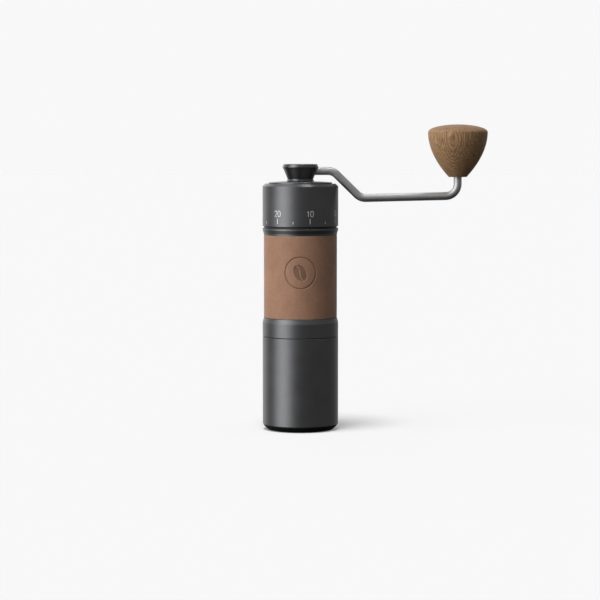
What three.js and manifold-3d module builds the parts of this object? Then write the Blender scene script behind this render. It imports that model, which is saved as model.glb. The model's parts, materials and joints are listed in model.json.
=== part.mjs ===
// Hand crank coffee grinder with an outside grind dial.
//
// Beans lie in the hopper, the inside of the body tube. The crank turns the drive shaft, and the
// shaft turns the cone burr inside the fixed ring burr. The dial is a nut that cannot rise or
// sink: turning it moves the bearing carrier, and with it the shaft and the cone burr, up or
// down, which sets the grind. The grounds fall into a cup held on by magnets.
//
// Millimetres, +Z up. The origin is on the main axis, on the surface that the grinder stands on.
// The crank points along +X.

import * as THREE from "three";
import { mergeVertices } from "three/addons/utils/BufferGeometryUtils.js";
import Module from "manifold-3d";

const wasm = await Module();
wasm.setup();

// ---------- Driving dimensions ----------

const BODY_R = 28; // outside of the cup, both collars and the dial
const GAP = 0.1; // between pieces stacked or pressed together
const RUN = 0.3; // between pieces that turn or slide on each other

// Heights that divide the body, from the table up.
const FOOT_TOP = 4;
const SEAM = 69.3;
const COLLAR_EDGE = 79.8;
const LEATHER_BOTTOM = 83.4;
const LEATHER_TOP = 144.4;
const INDEX_TOP = 149.5;
const DIAL_BOTTOM = 150.9;
const DIAL_EDGE = 180.4;
const DIAL_TOP = 182.1;
const LID_TOP = 183.8;
const HUB_TOP = 196.6;

const FOOT_R = 24.2; // the foot's flat underside
const CUP_BORE = 25.8;
const TUBE_R = 25.45;
const TUBE_NECK_R = 23.9; // the tube's upper end, inside the dial
const TUBE_NECK = 144.3; // where the neck begins
const TUBE_TOP = 168;
const TUBE_BORE = 22.6;
const LEATHER_R = 27.05;
const DIAL_BORE = 26.1;
const LID_R = 23.4;

const SHAFT_R = 4;
const BEARING = { r: 8, height: 5, ballCircle: 6.05, ball: 0.85, balls: 7 };
const LOWER_BEARING_Z = 96;
const UPPER_BEARING_Z = 169;

const BURR = { bottom: 66.5, coneTop: 83.2, ringTop: 81, ringR: 21 };
const CONE = { r: 18.6, slope: 0.62, teeth: 14, groove: 0.86, twist: 0.6 };
const RING = { r: 19.2, slope: 0.55, teeth: 20, groove: 1.05, twist: -0.3 };

const SPIDER_ARMS = 3;
const ARM_WIDTH = 5;

// The crank is one bent rod: out of the hub, down over the dial, along, and up into the knob.
const ROD_R = 3;
const ROD_Z = 191.5; // height at the hub
const ROD_START = 5.6;
const SHOULDER_X = 24.1; // first bend's corner
const SLOPE = THREE.MathUtils.degToRad(44.4);
const ELBOW_Z = 171.5; // second bend's corner
const RISE = THREE.MathUtils.degToRad(1.4);
const THROW = 116.1; // crank axis to knob axis
const BEND_R = 9;
const POST_TOP = 216.3;

const KNOB = { bottom: 187.1, foot: 6.6, r: 22, waist: 33.1, crown: 5.6, bore: 5.4 };
const KNOB_BORE_TOP = 217.5;
const SLEEVE = { bottom: 189.4, top: 213.6 };

// Facets around a turned piece: the large shells, the middling ones and the small ones.
const ROUND = 28;
const HUB_FACETS = 24;
const MEDIUM = 20;
const FINE = 12;

// ---------- Materials: colour, roughness, metalness ----------

const GREY_COATED = [0x38383a, 0.45, 0.75];
const HUB_BLACK = [0x1f1f20, 0.4, 0.6];
const RUBBER = [0x0b0b0c, 0.7, 0];
const SILICONE = [0x5a5a5c, 0.8, 0];
const LEATHER = [0x8c6950, 0.65, 0];
const WALNUT = [0x7c5c40, 0.45, 0];
const BRUSHED = [0x9a9a9c, 0.3, 1];
const STEEL = [0xb4b4b6, 0.35, 1];
const BURR_STEEL = [0x8a8a8e, 0.3, 1];
const SPRING_STEEL = [0x77777a, 0.35, 1];
const BRASS = [0xb08d4c, 0.35, 1];
const ALUMINIUM = [0xa8a8aa, 0.4, 1];
const NYLON = [0x1c1c1e, 0.6, 0];
const MAGNET = [0xc8c8cc, 0.2, 1];

// ---------- Helpers ----------

function part(name, geometry, [color, roughness, metalness]) {
  const material = new THREE.MeshStandardMaterial({ color, roughness, metalness });
  const mesh = new THREE.Mesh(geometry, material);
  mesh.name = name;
  return mesh;
}

function group(...parts) {
  const made = new THREE.Group();
  made.add(...parts);
  return made;
}

// Turns an outline of [radius, height] points about Z. It starts and ends on the axis, or it
// goes round and is closed here.
function revolve(outline, facets = ROUND) {
  const points = outline.map(([r, z]) => new THREE.Vector2(r, z));
  if (THREE.ShapeUtils.area(points) < 0) {
    points.reverse();
  }
  if (points[0].x > 0) {
    points.push(points[0].clone());
  }
  const geometry = new THREE.LatheGeometry(points, facets);
  geometry.rotateX(Math.PI / 2);
  return geometry;
}

function ring(r0, r1, z0, z1, facets = ROUND) {
  return revolve([[r0, z0], [r1, z0], [r1, z1], [r0, z1]], facets);
}

function disc(r, z0, z1, facets = FINE) {
  return revolve([[0, z0], [r, z0], [r, z1], [0, z1]], facets);
}

// Stands a flat shape up along Z.
function prism(shape, z0, z1) {
  const geometry = new THREE.ExtrudeGeometry(shape, { depth: z1 - z0, bevelEnabled: false });
  geometry.translate(0, 0, z0);
  return geometry;
}

function block(x0, x1, width, z0, z1, angle = 0) {
  const geometry = new THREE.BoxGeometry(x1 - x0, width, z1 - z0);
  geometry.translate((x0 + x1) / 2, 0, (z0 + z1) / 2);
  geometry.rotateZ(angle);
  return geometry;
}

function polygon(radii, turn = 0) {
  const step = (2 * Math.PI) / radii.length;
  return new THREE.Shape(
    radii.map((r, i) => new THREE.Vector2(r * Math.cos(turn + i * step), r * Math.sin(turn + i * step))),
  );
}

function hexagon(acrossFlats) {
  return polygon(Array(6).fill(acrossFlats / Math.sqrt(3)));
}

// An open retaining ring with its gap facing +X.
function openRing(r0, r1, z0, z1, gap) {
  const outer = Math.asin(gap / 2 / r1);
  const inner = Math.asin(gap / 2 / r0);
  const shape = new THREE.Shape();
  shape.absarc(0, 0, r1, outer, 2 * Math.PI - outer, false);
  shape.absarc(0, 0, r0, 2 * Math.PI - inner, inner, true);
  const geometry = new THREE.ExtrudeGeometry(shape, {
    depth: z1 - z0,
    bevelEnabled: false,
    curveSegments: MEDIUM / 2,
  });
  geometry.translate(0, 0, z0);
  return geometry;
}

function toSolid(geometry) {
  const bare = geometry.clone();
  bare.deleteAttribute("normal");
  bare.deleteAttribute("uv");
  const merged = mergeVertices(bare, 1e-4);
  return new wasm.Manifold(
    new wasm.Mesh({
      numProp: 3,
      vertProperties: new Float32Array(merged.attributes.position.array),
      triVerts: new Uint32Array(merged.index.array),
    }),
  );
}

function toGeometry(solid) {
  const mesh = solid.getMesh();
  const geometry = new THREE.BufferGeometry();
  geometry.setAttribute("position", new THREE.BufferAttribute(mesh.vertProperties, 3));
  geometry.setIndex(new THREE.BufferAttribute(mesh.triVerts, 1));
  geometry.computeVertexNormals();
  geometry.setAttribute("uv", new THREE.BufferAttribute(new Float32Array(mesh.numVert * 2), 2));
  return geometry;
}

function cut(base, ...tools) {
  const solids = tools.map(toSolid);
  return toGeometry(solids.reduce((made, tool) => made.subtract(tool), toSolid(base)));
}

function join(base, ...others) {
  const solids = others.map(toSolid);
  return toGeometry(solids.reduce((made, other) => made.add(other), toSolid(base)));
}

function around(count, start = 0) {
  return Array.from({ length: count }, (_, i) => start + (i * 2 * Math.PI) / count);
}

// Moves a geometry out along X and turns it about Z.
function placed(geometry, radius, angle) {
  geometry.translate(radius, 0, 0);
  geometry.rotateZ(angle);
  return geometry;
}

// ---------- Grounds cup ----------

const MAGNET_CIRCLE = 23.4;

function groundsCup() {
  const recess = { r: 22, depth: 1.5 };
  const floor = 7.5;
  const groove = { r: 26.5, bottom: 59, top: 60.5 };
  const rim = SEAM - GAP;
  const underside = FOOT_TOP + recess.depth;

  const cup = revolve([
    [0, underside],
    [recess.r, underside],
    [recess.r, FOOT_TOP],
    [BODY_R, FOOT_TOP],
    [BODY_R, rim],
    [CUP_BORE, rim],
    [CUP_BORE, groove.top],
    [groove.r, groove.top],
    [groove.r, groove.bottom],
    [CUP_BORE, groove.bottom],
    [CUP_BORE, floor + 2],
    [CUP_BORE - 2, floor],
    [0, floor],
  ]);

  const pad = revolve([
    [0, 0],
    [FOOT_R, 0],
    [BODY_R - 0.6, FOOT_TOP - 0.7],
    [BODY_R - 0.6, FOOT_TOP - GAP],
    [recess.r - GAP, FOOT_TOP - GAP],
    [recess.r - GAP, underside - GAP],
    [0, underside - GAP],
  ]);

  const striker = ring(MAGNET_CIRCLE, groove.r - GAP, groove.bottom + GAP, groove.top - GAP);

  return group(
    part("grounds_cup", cup, GREY_COATED),
    part("foot_pad", pad, RUBBER),
    part("striker_ring", striker, STEEL),
  );
}

// ---------- Burr housing, with the lower collar and the ring burr ----------

const SPIGOT_BOTTOM = 61;

function burrHousing() {
  const spigotR = CUP_BORE - RUN;
  const bore = BURR.ringR + 0.2;
  const pocket = { outer: TUBE_R + RUN, inner: 23.4, bottom: 74 };
  const lip = { r: 17.2, bottom: BURR.ringTop + 0.2, top: 82.6 };
  const seal = { r: 24.3, bottom: 64.8, top: 66.6 };
  const magnet = { r: 1.5, depth: 2.7 };

  const housing = revolve([
    [bore, SPIGOT_BOTTOM],
    [spigotR, SPIGOT_BOTTOM],
    [spigotR, seal.bottom],
    [seal.r, seal.bottom],
    [seal.r, seal.top],
    [spigotR, seal.top],
    [spigotR, SEAM + GAP],
    [BODY_R, SEAM + GAP],
    [BODY_R, COLLAR_EDGE],
    [LEATHER_R, LEATHER_BOTTOM - 2 * GAP],
    [pocket.outer, LEATHER_BOTTOM - 2 * GAP],
    [pocket.outer, pocket.bottom],
    [pocket.inner, pocket.bottom],
    [pocket.inner, lip.top],
    [lip.r, lip.bottom],
    [bore, lip.bottom],
  ]);
  const magnetHoles = around(3, Math.PI / 6).map((angle) =>
    placed(disc(magnet.r + GAP, SPIGOT_BOTTOM - 1, SPIGOT_BOTTOM + magnet.depth + 2 * GAP), MAGNET_CIRCLE, angle),
  );
  const magnets = around(3, Math.PI / 6).map((angle, i) => {
    const made = part("cup_magnet_" + (i + 1), disc(magnet.r, 0, magnet.depth), MAGNET);
    made.position.set(
      MAGNET_CIRCLE * Math.cos(angle),
      MAGNET_CIRCLE * Math.sin(angle),
      SPIGOT_BOTTOM + GAP,
    );
    made.rotation.z = angle;
    return made;
  });

  const sealMiddle = (seal.bottom + seal.top) / 2;
  const oRing = revolve([
    [seal.r + GAP, sealMiddle],
    [seal.r + 0.7, sealMiddle - 0.8],
    [CUP_BORE - 0.35, sealMiddle],
    [seal.r + 0.7, sealMiddle + 0.8],
  ]);

  const lock = { bore: 19.5, bottom: 63, slot: 3, slotDepth: 1.5 };
  const lockRing = cut(
    ring(lock.bore, BURR.ringR, lock.bottom, BURR.bottom - 2 * GAP),
    block(-BODY_R, BODY_R, lock.slot, lock.bottom - 1, lock.bottom + lock.slotDepth),
  );

  return group(
    part("burr_housing", cut(housing, ...magnetHoles), GREY_COATED),
    ...magnets,
    part("cup_o_ring", oRing, RUBBER),
    part("burr_lock_ring", lockRing, STEEL),
    part("ring_burr", ringBurr(), BURR_STEEL),
  );
}

// ---------- Burrs ----------

// A tapered solid with slanting teeth: a saw-edged outline that shrinks and turns with height.
function toothedCone({ r, slope, teeth, groove, twist }, z0, z1) {
  const radii = [];
  for (let i = 0; i < teeth; i++) {
    radii.push(r, r * (0.35 + 0.65 * groove), r * groove);
  }
  const height = z1 - z0;
  const geometry = new THREE.ExtrudeGeometry(polygon(radii), {
    depth: height,
    steps: 3,
    bevelEnabled: false,
  });
  const position = geometry.attributes.position;
  const point = new THREE.Vector3();
  for (let i = 0; i < position.count; i++) {
    point.fromBufferAttribute(position, i);
    const z = z0 + point.z;
    const scale = 1 - (slope * (z - BURR.bottom)) / r;
    point.multiplyScalar(scale);
    point.applyAxisAngle(new THREE.Vector3(0, 0, 1), (twist * (z - BURR.bottom)) / height);
    position.setXYZ(i, point.x, point.y, z);
  }
  return geometry;
}

function ringBurr() {
  const blank = disc(BURR.ringR, BURR.bottom - GAP, BURR.ringTop, ROUND);
  return cut(blank, toothedCone(RING, BURR.bottom - 1, BURR.ringTop + 1));
}

const SEAT_FLATS = 6; // the hexagon that carries the cone burr
const DRIVE_FLATS = 7; // the hexagon that the crank turns

function coneBurr() {
  const seat = prism(hexagon(SEAT_FLATS + 0.3), BURR.bottom - 1, BURR.coneTop + 1);
  return cut(toothedCone(CONE, BURR.bottom, BURR.coneTop), seat);
}

// ---------- Bearings ----------

// A shielded ball bearing standing at height 0. The races and the cage are separate pieces,
// because each turns at its own speed.
function bearingRace(which) {
  const between = { inner: 5.1, outer: 7 };
  if (which === "inner") {
    return ring(SHAFT_R + GAP / 2, between.inner, 0, BEARING.height, MEDIUM);
  }
  return ring(between.outer, BEARING.r, 0, BEARING.height, MEDIUM);
}

function bearingCage() {
  const middle = BEARING.height / 2;
  const band = ring(BEARING.ballCircle - 0.3, BEARING.ballCircle + 0.3, middle - 0.6, middle + 0.6, MEDIUM);
  const balls = around(BEARING.balls).map((angle) => {
    const ball = new THREE.OctahedronGeometry(BEARING.ball, 1);
    ball.translate(0, 0, middle);
    return placed(ball, BEARING.ballCircle, angle);
  });
  return join(band, ...balls);
}

function raised(mesh, z) {
  mesh.position.z = z;
  return mesh;
}

// ---------- Body tube, with what is fixed in and on it ----------

const SLOT_ANGLES = around(SPIDER_ARMS, Math.PI / 2);
const SLOT_BOTTOM = 159.6;
const SPIDER = { bottom: 93, top: 99.5 };
const CLIP_GROOVE = { bottom: 91.4, top: 92.8, r: 23.1 };

function bodyTube() {
  const lowerBore = 23.6;
  const tube = revolve([
    [lowerBore, 74.3],
    [TUBE_R, 74.3],
    [TUBE_R, TUBE_NECK],
    [TUBE_NECK_R, TUBE_NECK],
    [TUBE_NECK_R, TUBE_TOP],
    [TUBE_BORE, TUBE_TOP],
    [TUBE_BORE, CLIP_GROOVE.top],
    [CLIP_GROOVE.r, CLIP_GROOVE.top],
    [CLIP_GROOVE.r, CLIP_GROOVE.bottom],
    [TUBE_BORE, CLIP_GROOVE.bottom],
    [TUBE_BORE, 84.6],
    [lowerBore, 83.6],
  ]);
  const slots = SLOT_ANGLES.map((angle) =>
    block(20, TUBE_R, ARM_WIDTH + 2 * RUN, SLOT_BOTTOM, TUBE_TOP + 1, angle),
  );
  const sleeve = ring(TUBE_R + 0.15, LEATHER_R, LEATHER_BOTTOM, LEATHER_TOP);
  return group(
    part("body_tube", cut(tube, ...slots), ALUMINIUM),
    part("leather_sleeve", sleeve, LEATHER),
  );
}

// A hub that holds a bearing, three arms and a rim, as one casting.
function spiderCasting(hub, rim, arms) {
  const spokes = SLOT_ANGLES.map((angle) =>
    block(arms.from, arms.to, ARM_WIDTH, arms.bottom, arms.top, angle),
  );
  return join(revolve(hub, MEDIUM), revolve(rim), ...spokes);
}

function lowerSpider() {
  const seat = BEARING.r + GAP;
  const bottom = LOWER_BEARING_Z - 0.8;
  const shoulder = LOWER_BEARING_Z + BEARING.height + GAP;
  const top = shoulder + 0.9;
  const hub = [
    [seat, bottom],
    [10.6, bottom],
    [10.6, top],
    [7.2, top],
    [7.2, shoulder],
    [seat, shoulder],
  ];
  const rimR = TUBE_BORE - 0.2;
  const rim = [
    [20.2, SPIDER.bottom],
    [rimR, SPIDER.bottom],
    [rimR, SPIDER.top],
    [20.2, SPIDER.top],
  ];
  const arms = { from: 10, to: 21, bottom: bottom, top: SPIDER.top - 0.5 };
  const clip = openRing(20.6, CLIP_GROOVE.r - 0.3, CLIP_GROOVE.bottom + 0.2, CLIP_GROOVE.top - 0.2, 8);
  return group(
    part("lower_spider", spiderCasting(hub, rim, arms), ALUMINIUM),
    part("spider_clip", clip, SPRING_STEEL),
    raised(part("lower_bearing_outer", bearingRace("outer"), STEEL), LOWER_BEARING_Z),
    raised(part("lower_bearing_inner", bearingRace("inner"), STEEL), LOWER_BEARING_Z),
    raised(part("lower_bearing_cage", bearingCage(), BRASS), LOWER_BEARING_Z),
  );
}

// ---------- Spring, as a round wire wound along Z ----------

class Helix extends THREE.Curve {
  constructor(radius, height, turns) {
    super();
    this.radius = radius;
    this.height = height;
    this.turns = turns;
  }

  getPoint(t, target = new THREE.Vector3()) {
    const angle = t * this.turns * 2 * Math.PI;
    return target.set(this.radius * Math.cos(angle), this.radius * Math.sin(angle), t * this.height);
  }
}

function spring({ radius, wire, bottom, top, turns, steps, sides }) {
  const section = polygon(Array(sides).fill(wire / 2));
  const path = new Helix(radius, top - bottom - wire, turns);
  const geometry = new THREE.ExtrudeGeometry(section, { extrudePath: path, steps: steps * turns });
  geometry.translate(0, 0, bottom + wire / 2);
  return geometry;
}

// ---------- Index collar, detents and what holds the dial down ----------

const DIAL_LEDGE = 155.2; // top of the ledge that the keeper ring holds down
const DETENT = { circle: 25.25, ball: 1.2, pocket: 1.4, pocketBottom: 145.6 };

function indexCollar() {
  const inner = TUBE_NECK_R + GAP + 0.05;
  const bottom = LEATHER_TOP + 0.15;
  const collar = revolve([
    [inner, bottom],
    [27.15, bottom],
    [27.2, bottom + 1.1],
    [BODY_R, 148.3],
    [BODY_R, INDEX_TOP],
    [inner, INDEX_TOP],
  ]);
  const pockets = [0, Math.PI].map((angle) =>
    placed(disc(DETENT.pocket, DETENT.pocketBottom, INDEX_TOP + 1), DETENT.circle, angle),
  );
  const screw = { r: 1, z: 147, inner: 24.4, outer: 27.2 };
  const screwHole = disc(screw.r + GAP, 23, BODY_R + 1);
  screwHole.rotateX(-Math.PI / 2);
  screwHole.translate(0, 0, screw.z);
  const socket = prism(hexagon(1), screw.outer - 1, screw.outer + 1);
  const grub = part("collar_set_screw", cut(disc(screw.r, screw.inner, screw.outer), socket), STEEL);
  grub.rotation.x = -Math.PI / 2;
  grub.position.z = screw.z;
  return group(part("index_collar", cut(collar, ...pockets, screwHole), GREY_COATED), grub);
}

function detents() {
  const coil = {
    radius: 0.85,
    wire: 0.35,
    bottom: DETENT.pocketBottom + GAP,
    top: 148.3,
    turns: 3,
    steps: 8,
    sides: 5,
  };
  return [0, Math.PI].map((angle, i) => {
    const ball = part("detent_ball_" + (i + 1), new THREE.SphereGeometry(DETENT.ball, 10, 8), STEEL);
    ball.position.z = DIAL_BOTTOM - GAP - DETENT.ball;
    const made = group(ball, part("detent_spring_" + (i + 1), spring(coil), SPRING_STEEL));
    made.position.set(DETENT.circle * Math.cos(angle), DETENT.circle * Math.sin(angle), 0);
    return made;
  });
}

function dialKeepers() {
  const holes = [0, Math.PI].map((angle) =>
    placed(disc(DETENT.pocket, INDEX_TOP, DIAL_BOTTOM), DETENT.circle, angle),
  );
  const inner = TUBE_NECK_R + 0.15;
  const glide = cut(ring(inner, 26.9, INDEX_TOP + GAP, DIAL_BOTTOM - GAP), ...holes);
  const keeperTop = 158;
  const wrenchSlot = { width: 2.4, depth: 1.1 };
  const keeper = cut(
    ring(inner, DIAL_BORE - RUN, DIAL_LEDGE + 0.15, keeperTop),
    block(-BODY_R, BODY_R, wrenchSlot.width, keeperTop - wrenchSlot.depth, keeperTop + 1),
  );
  return group(part("dial_glide_ring", glide, NYLON), part("dial_keeper_ring", keeper, STEEL));
}

// ---------- Dial ----------

const TOP_RING = { bottom: 177.2, ledge: 178.4, mouth: 21.5 };

function dial() {
  const bevel = 1.7;
  const ringTop = DIAL_EDGE + bevel;
  const outer = revolve([
    [TUBE_NECK_R + 0.4, DIAL_BOTTOM],
    [BODY_R, DIAL_BOTTOM],
    [BODY_R, DIAL_EDGE],
    [BODY_R - bevel, ringTop],
    [DIAL_BORE, ringTop],
    [DIAL_BORE, DIAL_LEDGE],
    [TUBE_NECK_R + 0.4, DIAL_LEDGE],
  ]);
  const wellR = LID_R + 0.35;
  const cap = revolve([
    [TOP_RING.mouth, TOP_RING.bottom],
    [DIAL_BORE - 0.2, TOP_RING.bottom],
    [DIAL_BORE - 0.2, DIAL_TOP],
    [wellR, DIAL_TOP],
    [wellR, TOP_RING.ledge],
    [TOP_RING.mouth, TOP_RING.ledge],
  ]);
  return group(part("dial_ring", outer, GREY_COATED), part("dial_top_ring", cap, GREY_COATED));
}

// ---------- Bearing carrier: the screw that the dial moves up and down ----------

function bearingCarrier() {
  const seat = BEARING.r + GAP;
  const bottom = UPPER_BEARING_Z - 1;
  const hub = [
    [7.2, bottom],
    [10.6, bottom],
    [10.6, UPPER_BEARING_Z + BEARING.height + 0.4],
    [seat, UPPER_BEARING_Z + BEARING.height + 0.4],
    [seat, UPPER_BEARING_Z - GAP],
    [7.2, UPPER_BEARING_Z - GAP],
  ];
  const rimBottom = TUBE_TOP + 1.2;
  const rimTop = 175.6;
  const rim = [
    [21, rimBottom],
    [DIAL_BORE - 0.4, rimBottom],
    [DIAL_BORE - 0.4, rimTop],
    [21, rimTop],
  ];
  const arms = { from: 10, to: 22, bottom: bottom, top: 172.6 };
  const keys = SLOT_ANGLES.map((angle) =>
    block(TUBE_BORE + 0.15, TUBE_NECK_R, ARM_WIDTH, 161, rimBottom + 0.5, angle),
  );
  const casting = join(spiderCasting(hub, rim, arms), ...keys);
  return group(
    part("bearing_carrier", casting, ALUMINIUM),
    raised(part("upper_bearing_outer", bearingRace("outer"), STEEL), UPPER_BEARING_Z),
    raised(part("upper_bearing_cage", bearingCage(), BRASS), UPPER_BEARING_Z),
  );
}

// ---------- Drive shaft, with the cone burr ----------

function driveShaft() {
  const seatTop = BURR.coneTop + GAP;
  const seatBottom = BURR.bottom + GAP;
  const driveBottom = 175.9; // below the hub's neck by the carrier's travel and a little more
  const driveTop = 189.5;
  const clip = { bottom: UPPER_BEARING_Z + BEARING.height + GAP, thickness: 0.8, r: 3.5 };
  const round = revolve(
    [
      [0, seatTop],
      [SHAFT_R, seatTop],
      [SHAFT_R, clip.bottom - GAP / 2],
      [clip.r, clip.bottom - GAP / 2],
      [clip.r, clip.bottom + clip.thickness + GAP],
      [SHAFT_R, clip.bottom + clip.thickness + GAP],
      [SHAFT_R, driveBottom],
      [0, driveBottom],
    ],
    MEDIUM,
  );
  const burrSeat = prism(hexagon(SEAT_FLATS), seatBottom, seatTop + 1);
  const drive = prism(hexagon(DRIVE_FLATS), driveBottom - 1, driveTop);
  const thread = { r: 2, depth: 10.5 };
  const tapped = disc(thread.r + 0.2, seatBottom - 1, seatBottom + thread.depth);
  const shaft = cut(join(round, burrSeat, drive), tapped);

  const washer = { r: 8.5, bottom: BURR.bottom - 1.5 };
  const head = { r: 4.4, bottom: washer.bottom - GAP - 2.6 };
  const screwBody = revolve(
    [
      [0, head.bottom],
      [head.r - 0.4, head.bottom],
      [head.r, head.bottom + 0.4],
      [head.r, washer.bottom - GAP],
      [thread.r, washer.bottom - GAP],
      [thread.r, seatBottom + thread.depth - 0.5],
      [0, seatBottom + thread.depth - 0.5],
    ],
    FINE,
  );
  const screw = cut(screwBody, prism(hexagon(3), head.bottom - 1, head.bottom + 1.6));

  const coil = {
    radius: 5.5,
    wire: 1.2,
    bottom: 84.1,
    top: LOWER_BEARING_Z - 0.2,
    turns: 4,
    steps: 14,
    sides: 6,
  };

  return group(
    part("drive_shaft", shaft, STEEL),
    part("cone_burr", coneBurr(), BURR_STEEL),
    part("burr_washer", ring(thread.r + 0.2, washer.r, washer.bottom, BURR.bottom - GAP, MEDIUM), STEEL),
    part("burr_screw", screw, STEEL),
    part("spring_washer", ring(SHAFT_R + 0.2, 7.2, BURR.coneTop + GAP, 84, MEDIUM), STEEL),
    part("preload_spring", spring(coil), SPRING_STEEL),
    raised(part("upper_bearing_inner", bearingRace("inner"), STEEL), UPPER_BEARING_Z),
    part("shaft_clip", openRing(clip.r + GAP, 5.9, clip.bottom, clip.bottom + clip.thickness, 3), SPRING_STEEL),
  );
}

// ---------- Lid ----------

const NECK_R = 6.2; // the crank hub's neck, which turns in the lid
const NECK_BOTTOM = 177.2;

function lid() {
  const boss = { r: 10.6, bottom: 178.9, bore: 8.1 };
  const flange = { r: 9.3, bottom: LID_TOP - 0.8 };
  const plate = 181.9;
  const skirt = { outer: 22.8, inner: 20.6, bottom: TOP_RING.ledge + RUN };
  const groove = { r: 22.2, bottom: 179.4, top: 181 };

  const cover = revolve([
    [boss.bore, boss.bottom],
    [boss.r, boss.bottom],
    [boss.r, plate],
    [skirt.inner, plate],
    [skirt.inner, skirt.bottom],
    [skirt.outer, skirt.bottom],
    [skirt.outer, groove.bottom],
    [groove.r, groove.bottom],
    [groove.r, groove.top],
    [skirt.outer, groove.top],
    [skirt.outer, plate],
    [LID_R, plate],
    [LID_R, LID_TOP - 0.6],
    [16.5, LID_TOP - 0.1],
    [flange.r + 0.1, LID_TOP],
    [flange.r + 0.1, flange.bottom - GAP],
    [boss.bore, flange.bottom - GAP],
  ]);

  const middle = (groove.bottom + groove.top) / 2;
  const seal = revolve([
    [groove.r + GAP, middle - 0.6],
    [LID_R - 0.3, middle - 0.6],
    [LID_R + 0.05, middle],
    [LID_R - 0.3, middle + 0.6],
    [groove.r + GAP, middle + 0.6],
  ]);

  const bush = revolve(
    [
      [NECK_R + RUN, boss.bottom],
      [boss.bore - GAP, boss.bottom],
      [boss.bore - GAP, flange.bottom],
      [flange.r, flange.bottom],
      [flange.r, LID_TOP + 0.15],
      [NECK_R + RUN, LID_TOP + 0.15],
    ],
    MEDIUM,
  );

  return group(
    part("hopper_lid", cover, GREY_COATED),
    part("lid_seal", seal, SILICONE),
    part("lid_bush", bush, BRASS),
  );
}

// ---------- Crank: hub, bent rod and their fasteners ----------

// A run of the rod: straight, or round a centre from one angle to another, in the XZ plane.
function straight(from, to) {
  return { steps: 1, at: (t) => [from[0] + (to[0] - from[0]) * t, from[1] + (to[1] - from[1]) * t] };
}

function bend(centre, start, end, steps) {
  return {
    steps,
    at: (t) => {
      const angle = start + (end - start) * t;
      return [centre[0] + BEND_R * Math.cos(angle), centre[1] + BEND_R * Math.sin(angle)];
    },
  };
}

// The rod's centre line. Its points follow the runs' own steps, so a straight run takes one.
class RodPath extends THREE.Curve {
  constructor(runs) {
    super();
    this.runs = runs;
    this.steps = runs.reduce((sum, run) => sum + run.steps, 0);
  }

  getUtoTmapping(u) {
    return u;
  }

  getPoint(t, target = new THREE.Vector3()) {
    let left = t * this.steps;
    for (const run of this.runs) {
      if (left <= run.steps || run === this.runs.at(-1)) {
        const [x, z] = run.at(left / run.steps);
        return target.set(x, 0, z);
      }
      left -= run.steps;
    }
    return target;
  }
}

function rodPath() {
  const right = Math.PI / 2;
  const elbowX = SHOULDER_X + (ROD_Z - ELBOW_Z) / Math.tan(SLOPE);
  const heelZ = ELBOW_Z + (THROW - elbowX) * Math.tan(RISE);
  // How far before and after each corner its bend begins and ends.
  const shoulderCut = BEND_R * Math.tan(SLOPE / 2);
  const elbowCut = BEND_R * Math.tan((SLOPE + RISE) / 2);
  const heelCut = BEND_R * Math.tan((right - RISE) / 2);
  const down = [Math.cos(SLOPE), -Math.sin(SLOPE)];
  const along = [Math.cos(RISE), Math.sin(RISE)];

  const shoulderIn = [SHOULDER_X - shoulderCut, ROD_Z];
  const shoulderOut = [SHOULDER_X + down[0] * shoulderCut, ROD_Z + down[1] * shoulderCut];
  const elbowIn = [elbowX - down[0] * elbowCut, ELBOW_Z - down[1] * elbowCut];
  const elbowOut = [elbowX + along[0] * elbowCut, ELBOW_Z + along[1] * elbowCut];
  const heelIn = [THROW - along[0] * heelCut, heelZ - along[1] * heelCut];
  const heelOut = [THROW, heelZ + heelCut];

  return new RodPath([
    straight([ROD_START, ROD_Z], shoulderIn),
    bend([shoulderIn[0], ROD_Z - BEND_R], right, right - SLOPE, 4),
    straight(shoulderOut, elbowIn),
    bend([elbowOut[0] - along[1] * BEND_R, elbowOut[1] + along[0] * BEND_R], -right - SLOPE, -right + RISE, 4),
    straight(elbowOut, heelIn),
    bend([THROW - BEND_R, heelOut[1]], -right + RISE, 0, 8),
    straight(heelOut, [THROW, POST_TOP]),
  ]);
}

const KNOB_CLIPS = [SLEEVE.bottom - 1.1, SLEEVE.top + RUN]; // the undersides of the two clips
const CLIP_THICKNESS = 0.8;
const POST_GROOVE_R = 2.3;
const PIN = { x: 8.5, r: 1.2, bottom: 187.4, top: 195.1 };

function crankArm() {
  const path = rodPath();
  const section = polygon(Array(FINE).fill(ROD_R));
  const rod = new THREE.ExtrudeGeometry(section, { extrudePath: path, steps: path.steps });
  const grooves = KNOB_CLIPS.map((z) => {
    const groove = ring(POST_GROOVE_R, ROD_R + 1, z - GAP, z + CLIP_THICKNESS + GAP, FINE);
    return placed(groove, THROW, 0);
  });
  return cut(rod, ...grooves, placed(disc(PIN.r + GAP, 180, 200), PIN.x, 0));
}

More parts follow.
